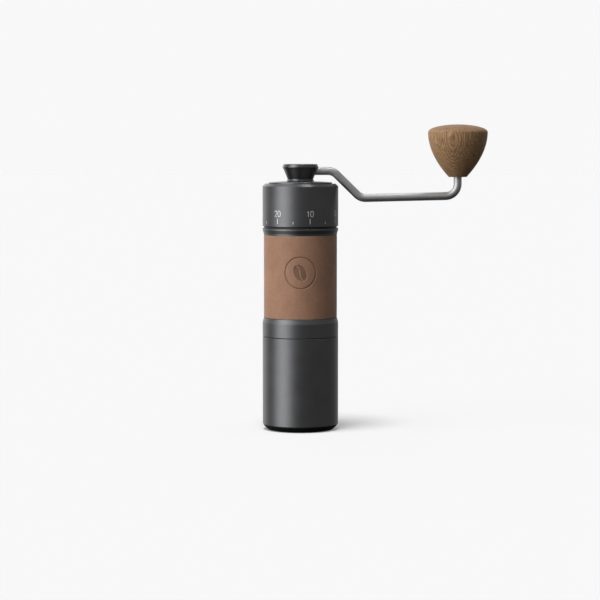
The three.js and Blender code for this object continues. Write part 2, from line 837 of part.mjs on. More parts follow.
function crankHub() {
  const flangeBottom = LID_TOP + 0.35;
  const capWell = { r: 10.5, bottom: HUB_TOP - 1.3 };
  const clip = { r: 5.5, bottom: 177.7, thickness: 0.8 };
  const blank = revolve(
    [
      [0, NECK_BOTTOM],
      [NECK_R, NECK_BOTTOM],
      [NECK_R, clip.bottom],
      [clip.r, clip.bottom],
      [clip.r, clip.bottom + clip.thickness],
      [NECK_R, clip.bottom + clip.thickness],
      [NECK_R, flangeBottom],
      [9.9, flangeBottom],
      [10.2, flangeBottom + 0.3],
      [9.75, flangeBottom + 0.9],
      [9.55, flangeBottom + 1.5],
      [9.75, flangeBottom + 2.2],
      [12.3, HUB_TOP - 4.3],
      [13.3, HUB_TOP - 2.2],
      [12.5, HUB_TOP - 0.2],
      [12.3, HUB_TOP],
      [capWell.r, HUB_TOP],
      [capWell.r, capWell.bottom],
      [0, capWell.bottom],
    ],
    HUB_FACETS,
  );
  const socket = prism(hexagon(DRIVE_FLATS + 0.3), NECK_BOTTOM - 1, 191);
  const rodBore = disc(ROD_R + 0.2, ROD_START - 0.2, 20);
  rodBore.rotateY(Math.PI / 2);
  rodBore.translate(0, 0, ROD_Z);
  const pinBore = placed(disc(PIN.r + GAP, PIN.bottom - GAP, HUB_TOP), PIN.x, 0);
  const cap = revolve(
    [
      [0, capWell.bottom + GAP],
      [capWell.r - 0.15, capWell.bottom + GAP],
      [capWell.r - 0.15, HUB_TOP - 0.3],
      [capWell.r - 0.4, HUB_TOP - GAP],
      [0, HUB_TOP - GAP],
    ],
    HUB_FACETS,
  );
  const circlip = openRing(clip.r + GAP, 8, clip.bottom + 0.05, clip.bottom + clip.thickness - 0.05, 4);
  return group(
    part("crank_hub", cut(blank, socket, rodBore, pinBore), HUB_BLACK),
    part("hub_cap", cap, HUB_BLACK),
    part("hub_clip", circlip, SPRING_STEEL),
    part("arm_pin", placed(disc(PIN.r, PIN.bottom, PIN.top), PIN.x, 0), STEEL),
    part("crank_arm", crankArm(), BRUSHED),
  );
}

// ---------- Knob ----------

function knob() {
  const waistZ = KNOB.bottom + KNOB.waist;
  const flare = { out: 12, up: 13 }; // where the side leaves the foot for
  const shoulder = 8.5; // how far below the waist the side turns upright
  const side = new THREE.CubicBezierCurve(
    new THREE.Vector2(KNOB.foot, KNOB.bottom),
    new THREE.Vector2(KNOB.foot + flare.out, KNOB.bottom + flare.up),
    new THREE.Vector2(KNOB.r, waistZ - shoulder),
    new THREE.Vector2(KNOB.r, waistZ),
  );
  const crown = new THREE.EllipseCurve(0, waistZ, KNOB.r, KNOB.crown, 0, Math.PI / 2);
  const outline = [
    ...side.getPoints(9),
    ...crown.getPoints(6).slice(1, -1),
    { x: 0, y: waistZ + KNOB.crown },
  ].map(({ x, y }) => [x, y]);
  const wood = revolve([[0, KNOB_BORE_TOP], [KNOB.bore, KNOB_BORE_TOP], [KNOB.bore, KNOB.bottom], ...outline]);

  const clips = KNOB_CLIPS.map((z, i) => {
    const clip = openRing(POST_GROOVE_R + GAP, 4.8, z, z + CLIP_THICKNESS, 2.4);
    return part("knob_clip_" + (i + 1), clip, SPRING_STEEL);
  });
  const sleeve = ring(ROD_R + 0.25, KNOB.bore - GAP, SLEEVE.bottom, SLEEVE.top, MEDIUM);
  const made = group(part("crank_knob", wood, WALNUT), part("knob_sleeve", sleeve, BRASS), ...clips);
  made.position.x = THROW;
  return made;
}

// ---------- The grinder ----------

const grinder = group(
  groundsCup(),
  burrHousing(),
  bodyTube(),
  lowerSpider(),
  indexCollar(),
  ...detents(),
  dialKeepers(),
  dial(),
  bearingCarrier(),
  driveShaft(),
  lid(),
  crankHub(),
  knob(),
);

export default grinder;
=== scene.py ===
"""The looks of the hand crank coffee grinder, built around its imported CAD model.

Outlines are in millimetres, as [radius, height] from the main axis, and a third number is the
radius of that corner's rounding. Everything that Blender holds is in metres, +Z up. Angles round
the body are in degrees from the front, -Y, towards +X.
"""

import json
from math import asin, cos, degrees, pi, radians, sin, sqrt, tan, tau

import bmesh
import bpy
import numpy as np
from mathutils import Matrix, Vector


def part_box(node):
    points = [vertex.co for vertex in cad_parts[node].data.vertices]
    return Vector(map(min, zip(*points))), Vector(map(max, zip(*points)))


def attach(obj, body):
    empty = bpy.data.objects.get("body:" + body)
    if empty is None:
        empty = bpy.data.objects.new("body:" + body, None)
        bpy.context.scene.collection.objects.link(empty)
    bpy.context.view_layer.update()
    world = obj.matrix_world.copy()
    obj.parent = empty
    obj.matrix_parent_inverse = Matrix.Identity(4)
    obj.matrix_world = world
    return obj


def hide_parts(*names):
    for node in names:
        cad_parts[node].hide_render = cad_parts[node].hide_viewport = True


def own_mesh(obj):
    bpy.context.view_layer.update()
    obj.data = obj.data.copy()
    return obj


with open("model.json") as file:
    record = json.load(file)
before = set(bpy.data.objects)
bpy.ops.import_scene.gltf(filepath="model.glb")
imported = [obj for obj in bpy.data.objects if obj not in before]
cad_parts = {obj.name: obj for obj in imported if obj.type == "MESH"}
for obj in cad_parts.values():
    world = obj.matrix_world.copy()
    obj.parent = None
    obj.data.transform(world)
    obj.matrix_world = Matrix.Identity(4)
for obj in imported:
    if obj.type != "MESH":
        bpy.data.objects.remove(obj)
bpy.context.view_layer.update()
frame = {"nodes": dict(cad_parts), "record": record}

MM = 0.001
BODY_OF = {
    node: body
    for body, nodes in frame["record"]["behaviour"]["bodies"].items()
    for node in nodes
}


def low(node):
    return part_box(node)[0].z / MM


def high(node):
    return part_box(node)[1].z / MM


def ends(node):
    """The heights of a node's two ends."""
    return low(node), high(node)


def wide(node):
    """The outer radius of a node that is round the main axis, or beside it along X."""
    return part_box(node)[1].y / MM


def middle_of(node):
    """The middle of a node, in millimetres."""
    return (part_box(node)[0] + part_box(node)[1]) / 2 / MM


# Driving values.
KNOB_X = middle_of("crank_knob").x
SEAM_GAP = 0.2  # between the cup and the lower collar
PROUD = 0.02  # how far the walls under the dial's marks stand back
PIN_HOLE_R = 1.3
DRIVE_HEX = 7  # across the flats of the shaft's upper end
ROD = {"r": 3, "z": 191.5, "start": 5.6, "bend": 9}

FINISHED = {}  # finished pieces, by the CAD node that each one stands for


# ---------- Camera, light and floor ----------

CAMERA = {"place": (-0.0003, -1.6574, 0.2180), "down": 4.21, "lens": 134.5}

# What the surfaces see. Angles are in degrees.
PANELS = [
    # azimuth, half width, feather, strength
    (-55, 20, 36, 2.6),  # the key softbox, at the front left
    (-152, 30, 34, 1.1),  # the white wall behind, brighter at the left
    (158, 20, 34, 0.35),
]
PANELS_FADE = (0.65, 0.95)  # how steeply up, where 0 is level and 1 straight up
PANELS_ABOVE = 0.2  # how much of the panels' light is left overhead
OVERHEAD = {"azimuth": 90, "elevation": 80, "half": 8, "feather": 8, "strength": 7.5}
FILL = 0.17
CEILING = 0.25
CEILING_RIGHT = 0.5  # how much of the ceiling's light is left at the right
DARK_BELOW = 0.08
BACKDROP = 0.94  # what the lens sees


def add(name, data):
    """Puts an object with that data into the scene."""
    made = bpy.data.objects.new(name, data)
    bpy.context.scene.collection.objects.link(made)
    return made


def camera():
    made = add("camera", bpy.data.cameras.new("camera"))
    made.location = CAMERA["place"]
    made.rotation_euler = (radians(90 - CAMERA["down"]), 0, 0)
    made.data.lens = CAMERA["lens"]
    made.data.sensor_width = 36
    made.data.clip_end = 50
    bpy.context.scene.camera = made


def node(tree, kind, inputs=None, **settings):
    """Adds a shader node. An input takes a value or another node's output."""
    made = tree.nodes.new("ShaderNode" + kind)
    for key, value in settings.items():
        setattr(made, key, value)
    for socket, value in (inputs or {}).items():
        if isinstance(value, bpy.types.NodeSocket):
            tree.links.new(value, made.inputs[socket])
        else:
            made.inputs[socket].default_value = value
    return made


def maths(tree, operation, a, b=0.0):
    return node(tree, "Math", {0: a, 1: b}, operation=operation).outputs[0]


def over(tree, value, start, end, low_value, high_value):
    """Goes smoothly from one value to another while an input goes from start to end."""
    spec = {"Value": value, "From Min": start, "From Max": end}
    spec |= {"To Min": low_value, "To Max": high_value}
    return node(tree, "MapRange", spec, interpolation_type="SMOOTHSTEP").outputs[0]


def panel(tree, azimuth, centre, half, feather, strength):
    """An upright soft-edged light panel, by the azimuth that a surface faces."""
    away = maths(tree, "SUBTRACT", azimuth, radians(centre))
    away = node(tree, "Math", {0: away, 1: pi, 2: -pi}, operation="WRAP").outputs[0]
    away = maths(tree, "ABSOLUTE", away)
    edge = radians(feather / 2)
    return over(tree, away, radians(half) - edge, radians(half) + edge, strength, 0.0)


def overhead(tree, direction):
    """A round soft-edged light above, a little to the right."""
    azimuth, elevation, half, feather = (
        radians(OVERHEAD[key]) for key in ("azimuth", "elevation", "half", "feather")
    )
    level = cos(elevation)
    middle = (level * sin(azimuth), -level * cos(azimuth), sin(elevation))
    dot = node(tree, "VectorMath", {0: direction, 1: middle}, operation="DOT_PRODUCT")
    rim = (cos(half + feather / 2), cos(half - feather / 2))
    return over(tree, dot.outputs["Value"], *rim, 0.0, OVERHEAD["strength"])


def studio():
    """Plain studio light. The lens sees a plain pale backdrop; the surfaces see the panels."""
    world = bpy.data.worlds.new("studio")
    bpy.context.scene.world = world
    world.use_nodes = True
    tree = world.node_tree
    tree.nodes.clear()
    direction = node(tree, "TexCoord").outputs["Generated"]
    axes = node(tree, "SeparateXYZ", {0: direction}).outputs
    backwards = maths(tree, "MULTIPLY", axes["Y"], -1)
    azimuth = maths(tree, "ARCTAN2", axes["X"], backwards)
    light = 0.0
    for spec in PANELS:
        light = maths(tree, "ADD", panel(tree, azimuth, *spec), light)
    light = maths(tree, "MULTIPLY", light, over(tree, axes["Z"], *PANELS_FADE, 1.0, PANELS_ABOVE))
    light = maths(tree, "ADD", light, FILL)
    light = maths(tree, "MULTIPLY", light, over(tree, axes["Z"], -0.6, 0.0, DARK_BELOW, 1.0))
    above = over(tree, axes["Z"], -0.05, 0.75, 0.0, CEILING)
    above = maths(tree, "MULTIPLY", above, over(tree, axes["X"], -0.1, 0.7, 1.0, CEILING_RIGHT))
    light = maths(tree, "ADD", light, above)
    light = maths(tree, "ADD", overhead(tree, direction), light)
    seen = node(tree, "Background", {"Color": (1, 1, 1, 1), "Strength": BACKDROP})
    lit = node(tree, "Background", {"Color": (1, 1, 1, 1), "Strength": light})
    to_lens = node(tree, "LightPath").outputs["Is Camera Ray"]
    mix = node(tree, "MixShader", {0: to_lens, 1: lit.outputs[0], 2: seen.outputs[0]})
    node(tree, "OutputWorld", {"Surface": mix.outputs[0]})
    world.cycles.sampling_method = "MANUAL"
    world.cycles.sample_map_resolution = 1024

    bpy.context.scene.view_settings.view_transform = "Standard"
    sun("key", side=-55, elevation=45, softness=50, energy=1.3)


def sun(name, side, elevation, softness, energy):
    """A soft sun at so many degrees to the side of the front. It shows in no reflection."""
    light = bpy.data.lights.new(name, "SUN")
    light.angle = radians(softness)
    light.energy = energy
    lamp = add(name, light)
    lamp.rotation_euler = (radians(90 - elevation), 0, radians(side))
    lamp.visible_glossy = False
    return lamp


def floor():
    """A plain pale floor, which fades into the backdrop."""
    size = 12.0
    mesh = bpy.data.meshes.new("floor")
    corners = [(-size, -size, 0), (size, -size, 0), (size, size, 0), (-size, size, 0)]
    mesh.from_pydata(corners, [], [(0, 1, 2, 3)])
    made = add("floor", mesh)
    made.visible_glossy = False
    made.visible_diffuse = False
    constants = {
        "Base Color": (0.10, 0.10, 0.10, 1),
        "Roughness": 1.0,
        "Specular IOR Level": 0.0,
        "Emission Color": (1, 1, 1, 1),
        "Emission Strength": 0.265,
    }
    mesh.materials.append(new_material("floor", constants)[0])
    return made


def floor_light(lit):
    """A sun for the floor alone. It draws the body's shadow, and passes the crank and the knob."""
    lamp = sun("floor_key", side=-30, elevation=76, softness=23, energy=18.0)
    receivers = bpy.data.collections.new("lit_by_floor_key")
    receivers.objects.link(lit)
    lamp.light_linking.receiver_collection = receivers
    passed = bpy.data.collections.new("passed_by_floor_key")
    for name, piece in FINISHED.items():
        if BODY_OF[name] in ("crank", "knob"):
            passed.objects.link(piece)
    for entry in passed.collection_objects:
        entry.light_linking.link_state = "EXCLUDE"
    lamp.light_linking.blocker_collection = passed


# ---------- Materials ----------


def new_material(name, constants=None):
    """A material, its tree and its shader, with constants by the name of the shader's socket."""
    made = bpy.data.materials.new(name)
    made.use_nodes = True
    tree = made.node_tree
    shader = tree.nodes["Principled BSDF"]
    for socket, value in (constants or {}).items():
        shader.inputs[socket].default_value = value
    return made, tree, shader


def place(tree, stretch=(1, 1, 1), turn=(0, 0, 0), about=(0, 0, 0)):
    """The point on the object, in metres, for a pattern stretched and turned about a point."""
    point = node(tree, "TexCoord").outputs["Object"]
    spec = {"Vector": point, "Location": about, "Rotation": turn, "Scale": stretch}
    return node(tree, "Mapping", spec, vector_type="TEXTURE").outputs[0]


def noise(tree, scale, detail, roughness, where=None):
    """Cloudy noise, over the object or over another point."""
    where = where or place(tree)
    spec = {"Vector": where, "Scale": scale, "Detail": detail, "Roughness": roughness}
    return node(tree, "TexNoise", spec).outputs["Fac"]


def ramp(tree, factor, *stops):
    """A colour or a grey by factor: each stop is a place and a colour or a grey."""
    made = node(tree, "ValToRGB", {0: factor})
    elements = made.color_ramp.elements
    while len(elements) < len(stops):
        elements.new(0.5)
    for element, (position, colour) in zip(elements, stops):
        element.position = position
        grey = isinstance(colour, (int, float))
        element.color = (colour, colour, colour, 1) if grey else (*colour, 1)
    return made.outputs["Color"]


def span(tree, value, low_end, high_end):
    """Stretches a value that runs from 0 to 1 over another range."""
    spec = {"Value": value, "To Min": low_end, "To Max": high_end}
    return node(tree, "MapRange", spec).outputs[0]


def multiply(tree, a, b, share=1.0):
    """One colour times another, in part."""
    made = tree.nodes.new("ShaderNodeMix")
    made.data_type = "RGBA"
    made.blend_type = "MULTIPLY"
    made.inputs[0].default_value = share
    for socket, value in ((made.inputs[6], a), (made.inputs[7], b)):
        if isinstance(value, bpy.types.NodeSocket):
            tree.links.new(value, socket)
        else:
            socket.default_value = (*value, 1)
    return made.outputs[2]


def bump(tree, shader, height, distance, under=None):
    """Relief of that depth, in metres, on top of any relief that is already there."""
    spec = {"Height": height, "Distance": distance}
    if under is not None:
        spec["Normal"] = under
    made = node(tree, "Bump", spec).outputs[0]
    tree.links.new(made, shader.inputs["Normal"])
    return made


def turning(tree, lines):
    """Fine rings left by a lathe: noise that changes with radius and height, hardly round."""
    point = node(tree, "TexCoord").outputs["Object"]
    axes = node(tree, "SeparateXYZ", {0: point}).outputs
    squares = [maths(tree, "MULTIPLY", axes[axis], axes[axis]) for axis in "XY"]
    radius = maths(tree, "SQRT", maths(tree, "ADD", *squares))
    angle = maths(tree, "ARCTAN2", axes["Y"], axes["X"])
    parts = {
        "X": maths(tree, "MULTIPLY", radius, lines),
        "Y": maths(tree, "MULTIPLY", axes["Z"], lines),
        "Z": maths(tree, "MULTIPLY", angle, 1.5),
    }
    where = node(tree, "CombineXYZ", parts).outputs[0]
    return noise(tree, 1.0, 3.0, 0.7, where)


def metal(name, colour, roughness, lines=2600, line_depth=3e-6, metallic=1.0, blotch=0.12, streak=0.0):
    """Turned or blasted metal: fine lathe rings, blasted grain and uneven sheen. The streak
    stretches the sheen across the rings of a turned face."""
    constants = {"Metallic": metallic, "Anisotropic": streak, "Anisotropic Rotation": 0.25}
    made, tree, shader = new_material(name, constants)
    if streak:
        around = node(tree, "Tangent", direction_type="RADIAL", axis="Z").outputs[0]
        tree.links.new(around, shader.inputs["Tangent"])
    rings = turning(tree, lines)
    patches = noise(tree, 70, 3, 0.6)
    tint = ramp(tree, patches, (0.3, 1 - blotch), (0.7, 1.0))
    tree.links.new(multiply(tree, tint, colour), shader.inputs["Base Color"])
    uneven = maths(tree, "MULTIPLY", maths(tree, "ADD", rings, patches), 0.5)
    sheen = span(tree, uneven, roughness - 0.06, roughness + 0.06)
    tree.links.new(sheen, shader.inputs["Roughness"])
    grain = noise(tree, 5200, 2, 0.6)
    under = bump(tree, shader, rings, line_depth)
    bump(tree, shader, grain, 2e-6, under)
    return made


def plain_plastic(name, colour, roughness, shine=0.5):
    """Moulded rubber or plastic: a fine even texture and slight shade changes."""
    made, tree, shader = new_material(name, {"Specular IOR Level": shine})
    patches = noise(tree, 120, 3, 0.6)
    tint = ramp(tree, patches, (0.3, 0.85), (0.7, 1.0))
    tree.links.new(multiply(tree, tint, colour), shader.inputs["Base Color"])
    tree.links.new(span(tree, patches, roughness - 0.08, roughness + 0.08), shader.inputs["Roughness"])
    bump(tree, shader, noise(tree, 2500, 3, 0.7), 6e-6)
    return made


def leather(name, colour, crease_depth=5e-5):
    """Smooth full-grain leather: pores, faint creases, a mottled tan, darker where it is pressed."""
    constants = {"Specular IOR Level": 0.35, "Sheen Weight": 0.13, "Sheen Roughness": 0.4}
    made, tree, shader = new_material(name, constants)
    clouds = noise(tree, 55, 4, 0.6)
    fine = noise(tree, 900, 4, 0.7, place(tree, stretch=(1, 1, 1.7)))
    mottled = ramp(tree, clouds, (0.25, 0.82), (0.55, 0.98), (0.8, 1.08))
    speckled = ramp(tree, fine, (0.3, 0.86), (0.62, 1.03))
    tint = multiply(tree, mottled, speckled)
    pressed = node(tree, "Attribute", attribute_name="pressed").outputs["Fac"]
    tint = multiply(tree, tint, ramp(tree, pressed, (0.0, 1.0), (1.0, 0.62)))
    tree.links.new(multiply(tree, tint, colour), shader.inputs["Base Color"])
    tree.links.new(span(tree, fine, 0.5, 0.72), shader.inputs["Roughness"])
    cells = node(tree, "TexVoronoi", {"Vector": place(tree), "Scale": 1900}, feature="DISTANCE_TO_EDGE")
    pores = ramp(tree, cells.outputs["Distance"], (0.0, 0.0), (0.12, 1.0))
    creases = noise(tree, 240, 5, 0.65, place(tree, stretch=(1, 1, 0.45)))
    under = bump(tree, shader, creases, crease_depth)
    bump(tree, shader, pores, 1.2e-5, under)
    return made


def walnut():
    """Oiled walnut, flat sawn, with its grain upright: nested figures at the front, left of the
    middle, fine fibres, short dark pores, and a crown darkened both for its end grain and by painted
    shade."""
    made, tree, shader = new_material("walnut", {"Specular IOR Level": 0.25})
    heart = (KNOB_X * MM - 0.009, -0.050, 0.207)
    lean = (radians(8), radians(-4), 0)
    wave = {
        "Vector": place(tree, (0.75, 1, 8), lean, heart),
        "Scale": 290,
        "Distortion": 9.0,
        "Detail": 6.0,
        "Detail Scale": 0.4,
        "Detail Roughness": 0.75,
    }
    rings = node(tree, "TexWave", wave, wave_type="RINGS", rings_direction="Z").outputs["Fac"]
    clouds = noise(tree, 110, 3, 0.6, place(tree, stretch=(1, 1, 3)))
    fibres = noise(tree, 1100, 4, 0.7, place(tree, stretch=(1, 1, 20)))
    streaks = noise(tree, 2200, 2, 0.5, place(tree, stretch=(1, 1, 12)))
    dark, medium, pale = (0.300, 0.166, 0.082), (0.405, 0.237, 0.118), (0.500, 0.300, 0.158)
    wood = ramp(tree, rings, (0.0, dark), (0.3, medium), (1.0, pale))
    tinted = multiply(tree, wood, ramp(tree, clouds, (0.3, 0.80), (0.7, 1.08)))
    grained = multiply(tree, tinted, ramp(tree, fibres, (0.3, 0.58), (0.65, 1.20)))
    pores = ramp(tree, streaks, (0.34, 0.30), (0.46, 1.0))
    figured = multiply(tree, grained, pores, 0.85)
    # The up-facing crown is darkened: partly its end grain, partly painted shade that dims the light
    # falling on the top.
    upward = node(tree, "SeparateXYZ", {0: node(tree, "TexCoord").outputs["Normal"]}).outputs["Z"]
    end_grain_and_painted_shade = over(tree, upward, 0.5, 0.9, 1.0, 0.7)
    tree.links.new(multiply(tree, figured, end_grain_and_painted_shade), shader.inputs["Base Color"])
    tree.links.new(span(tree, fibres, 0.45, 0.65), shader.inputs["Roughness"])
    under = bump(tree, shader, fibres, 3e-5)
    bump(tree, shader, pores, 3e-5, under)
    return made


COATED_GREY = (0.185, 0.187, 0.192)


def materials():
    """The finish of each material slot of the record."""
    return {
        "coated_grey": metal("coated_grey", COATED_GREY, 0.42),
        "coated_black": metal("coated_black", (0.15, 0.15, 0.152), 0.31),
        "bare_aluminium": metal("bare_aluminium", (0.62, 0.62, 0.63), 0.36),
        "black_rubber": plain_plastic("black_rubber", (0.006, 0.006, 0.007), 0.7, shine=0.2),
        "grey_silicone": plain_plastic("grey_silicone", (0.12, 0.12, 0.125), 0.55),
        "brown_leather": leather("brown_leather", (0.375, 0.205, 0.130)),
        "walnut": walnut(),
        "brushed_rod": metal("brushed_rod", (0.62, 0.62, 0.62), 0.50, lines=900, line_depth=5e-7),
        "steel": metal("steel", (0.60, 0.60, 0.61), 0.30),
        "spring_steel": metal("spring_steel", (0.33, 0.33, 0.34), 0.36),
        "burr_steel": metal("burr_steel", (0.45, 0.45, 0.46), 0.28, blotch=0.2),
        "brass": metal("brass", (0.66, 0.46, 0.20), 0.32),
        "nylon": plain_plastic("nylon", (0.03, 0.03, 0.032), 0.5),
        "magnet": metal("magnet", (0.70, 0.69, 0.66), 0.18),
    }


# ---------- Meshes ----------


def mesh_object(name, vertices, faces):
    """A mesh object with its faces looking out. The vertices are in millimetres."""
    mesh = bpy.data.meshes.new(name)
    mesh.from_pydata([Vector(v) * MM for v in vertices], [], faces)
    shape = bmesh.new()
    shape.from_mesh(mesh)
    if shape.calc_volume(signed=True) < 0:
        bmesh.ops.reverse_faces(shape, faces=shape.faces)
    shape.to_mesh(mesh)
    shape.free()
    return add(name, mesh)


def skin(name, loops, closed):
    """A body skinned over loops of points. Closed joins the last loop to the first, as on a ring;
    otherwise the two ends are capped."""
    loops = np.asarray(loops, float)
    rows, columns = loops.shape[:2]
    index = np.arange(rows * columns).reshape(rows, columns)
    beside = np.roll(index, -1, axis=1)
    above = np.roll(index, -1, axis=0)
    across = np.roll(beside, -1, axis=0)
    last = rows if closed else rows - 1
    faces = np.stack([index, beside, across, above], axis=-1)[:last].reshape(-1, 4).tolist()
    if not closed:
        faces += [index[0][::-1].tolist(), index[-1].tolist()]
    return mesh_object(name, loops.reshape(-1, 3), faces)


def bend(before, here, after, radius, steps):
    """The points of the arc that rounds a corner."""
    back, on = (before - here).normalized(), (after - here).normalized()
    opening = back.angle(on)
    centre = here + (back + on).normalized() * (radius / sin(opening / 2))
    first = here + back * (radius / tan(opening / 2)) - centre
    axis = back.cross(on).normalized()
    turns = [(opening - pi) * step / steps for step in range(steps + 1)]
    return [centre + Matrix.Rotation(turn, 3, axis) @ first for turn in turns]


def filleted(corners, edge=0.15, steps=4):
    """The outline through the corners, each rounded. It closes on itself or meets the axis."""
    places = [Vector((r, 0, z)) for r, z, *own in corners]
    points = []
    for i, (r, z, *own) in enumerate(corners):
        before, here, after = places[i - 1], places[i], places[(i + 1) % len(corners)]
        back, on = before - here, after - here
        radius = own[0] if own else edge
        opening = back.angle(on)
        if r < 1e-6 or radius == 0 or pi - opening < 0.02:
            points.append(here)
            continue
        most = 0.45 * min(back.length, on.length) * tan(opening / 2)
        points += bend(before, here, after, min(radius, most), steps)
    return points


def lathe(name, corners, segments=144, edge=0.15, steps=4):
    """Turns an outline about the main axis."""
    outline = [p for p in filleted(corners, edge, steps) if p.x > 1e-6]
    angles = np.linspace(0, tau, segments, endpoint=False)
    loops = [[(p.x * cos(a), p.x * sin(a), p.z) for a in angles] for p in outline]
    return skin(name, loops, closed=corners[0][0] > 0)


def tube(r0, r1, z0, z1):
    return [(r0, z0), (r1, z0), (r1, z1), (r0, z1)]


def notch(r, bottom_r, z0, z1, *edge):
    """The corners of a groove in a wall, in an outline that passes from z0 to z1."""
    return [(r, z0, *edge), (bottom_r, z0, *edge), (bottom_r, z1, *edge), (r, z1, *edge)]


def plug(radius, z0, z1, segments=32, x=0.0, y=0.0):
    """An upright round cutter."""
    return moved(lathe("plug", tube(0, radius, z0, z1), segments, 0), x, y)


def box_object(name, x0, x1, width, z0, z1, angle=0):
    """A cutter or a spoke: a plain block out along X, turned about Z."""
    corners = [(-width / 2, z0), (width / 2, z0), (width / 2, z1), (-width / 2, z1)]
    made = skin(name, [[(x, y, z) for y, z in corners] for x in (x0, x1)], closed=False)
    made.data.transform(Matrix.Rotation(angle, 4, "Z"))
    return made


def prism(name, outline, z0, z1):
    """An upright body over a flat outline of x, y points."""
    return skin(name, [[(x, y, z) for x, y in outline] for z in (z0, z1)], closed=False)


def hexagon(across_flats):
    r = across_flats / sqrt(3)
    return [(r * cos(k * pi / 3), r * sin(k * pi / 3)) for k in range(6)]


def moved(made, x=0.0, y=0.0, z=0.0):
    made.data.transform(Matrix.Translation(Vector((x, y, z)) * MM))
    return made


def bake(made):
    """Makes what the modifiers do part of the mesh."""
    seen = made.evaluated_get(bpy.context.evaluated_depsgraph_get())
    mesh = bpy.data.meshes.new_from_object(seen)
    made.modifiers.clear()
    made.data = mesh


def combine(operation, base, *others):
    """Cuts others out of base, or adds them to it. The others are used up."""
    for other in others:
        tool = base.modifiers.new("combine", "BOOLEAN")
        tool.operation = operation
        tool.object = other
        tool.solver = "EXACT"
    bake(base)
    for other in others:
        bpy.data.objects.remove(other)
    return base


def cut(base, *others):
    return combine("DIFFERENCE", base, *others)


def join(base, *others):
    return combine("UNION", base, *others)


def sweep(name, points, radius, sides, up):
    """A round bar along points; up is a direction that the bar never follows."""
    points = np.asarray(points, float)
    tangents = np.gradient(points, axis=0)
    tangents /= np.linalg.norm(tangents, axis=1)[:, None]
    side = np.cross(tangents, up)
    side /= np.linalg.norm(side, axis=1)[:, None]
    beyond = np.cross(side, tangents)
    angles = np.linspace(0, tau, sides, endpoint=False)
    loops = [
        [p + radius * (cos(a) * s + sin(a) * b) for a in angles]
        for p, s, b in zip(points, side, beyond)
    ]
    return skin(name, loops, closed=False)


def rounded_off(made, width, angle=40):
    """Breaks the sharp edges, as on a casting or a stamping."""
    tool = made.modifiers.new("edges", "BEVEL")
    tool.width = width * MM
    tool.segments = 2
    tool.limit_method = "ANGLE"
    tool.angle_limit = radians(angle)
    return made


def shade(made, sharp=38):
    made.data.shade_smooth()
    made.data.set_sharp_from_angle(angle=radians(sharp))
    tool = made.modifiers.new("normals", "WEIGHTED_NORMAL")
    tool.keep_sharp = True
    return made


def stand_for(made, name, slot, sharp=38):
    """The finished piece takes the place of a CAD node, on the node's body."""
    made.name = name + "_finished"
    if not made.data.materials:
        made.data.materials.append(MATERIAL[slot])
    shade(made, sharp)
    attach(made, BODY_OF[name])
    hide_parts(name)
    FINISHED[name] = made
    return made


# ---------- Turned pieces ----------


def grounds_cup():
    """The cup, with the groove that holds the striker ring and the recess for the foot pad."""
    body, bore, recess = wide("grounds_cup"), 25.8, 22
    foot, floor_top, rim = low("grounds_cup"), 7.5, high("grounds_cup")
    cup = lathe("cup", [
        (0, foot + 1.5),
        (recess, foot + 1.5),
        (recess, foot, 0.2),
        (body, foot, 0.5),
        (body, rim, 0.35),
        (bore, rim, 0.35),
        *notch(bore, 26.5, 60.5, 59, 0.1),
        (bore, floor_top, 3),
        (0, floor_top),
    ])
    stand_for(cup, "grounds_cup", "coated_grey")

    outer, boss = wide("foot_pad"), recess - 0.1
    pad = lathe("pad", [
        (0, 0),
        (17, 0, 0.2),
        (17.3, 0.6, 0.2),
        (18.7, 0.6, 0.2),
        (19, 0, 0.2),
        (outer - 3.2, 0, 0.5),
        (outer, foot - 0.7, 0.25),
        (outer, foot - 0.1),
        (boss, foot - 0.1),
        (boss, foot + 1.4),
        (0, foot + 1.4),
    ])
    stand_for(pad, "foot_pad", "black_rubber")


def plain_rings():
    """The pieces that are nothing but a ring."""
    outer_race, inner_race = 7, 4.05
    for name, slot, inner in (
        ("striker_ring", "steel", 23.4),
        ("dial_glide_ring", "nylon", 24.05),
        ("burr_washer", "steel", 2.2),
        ("spring_washer", "steel", 4.2),
        ("lower_bearing_outer", "steel", outer_race),
        ("lower_bearing_inner", "steel", inner_race),
        ("upper_bearing_outer", "steel", outer_race),
        ("upper_bearing_inner", "steel", inner_race),
    ):
        stand_for(lathe(name, tube(inner, wide(name), *ends(name))), name, slot)
    name = "knob_sleeve"
    sleeve = lathe("sleeve", tube(3.25, wide(name), *ends(name)), 64)
    stand_for(moved(sleeve, x=KNOB_X), name, "brass")


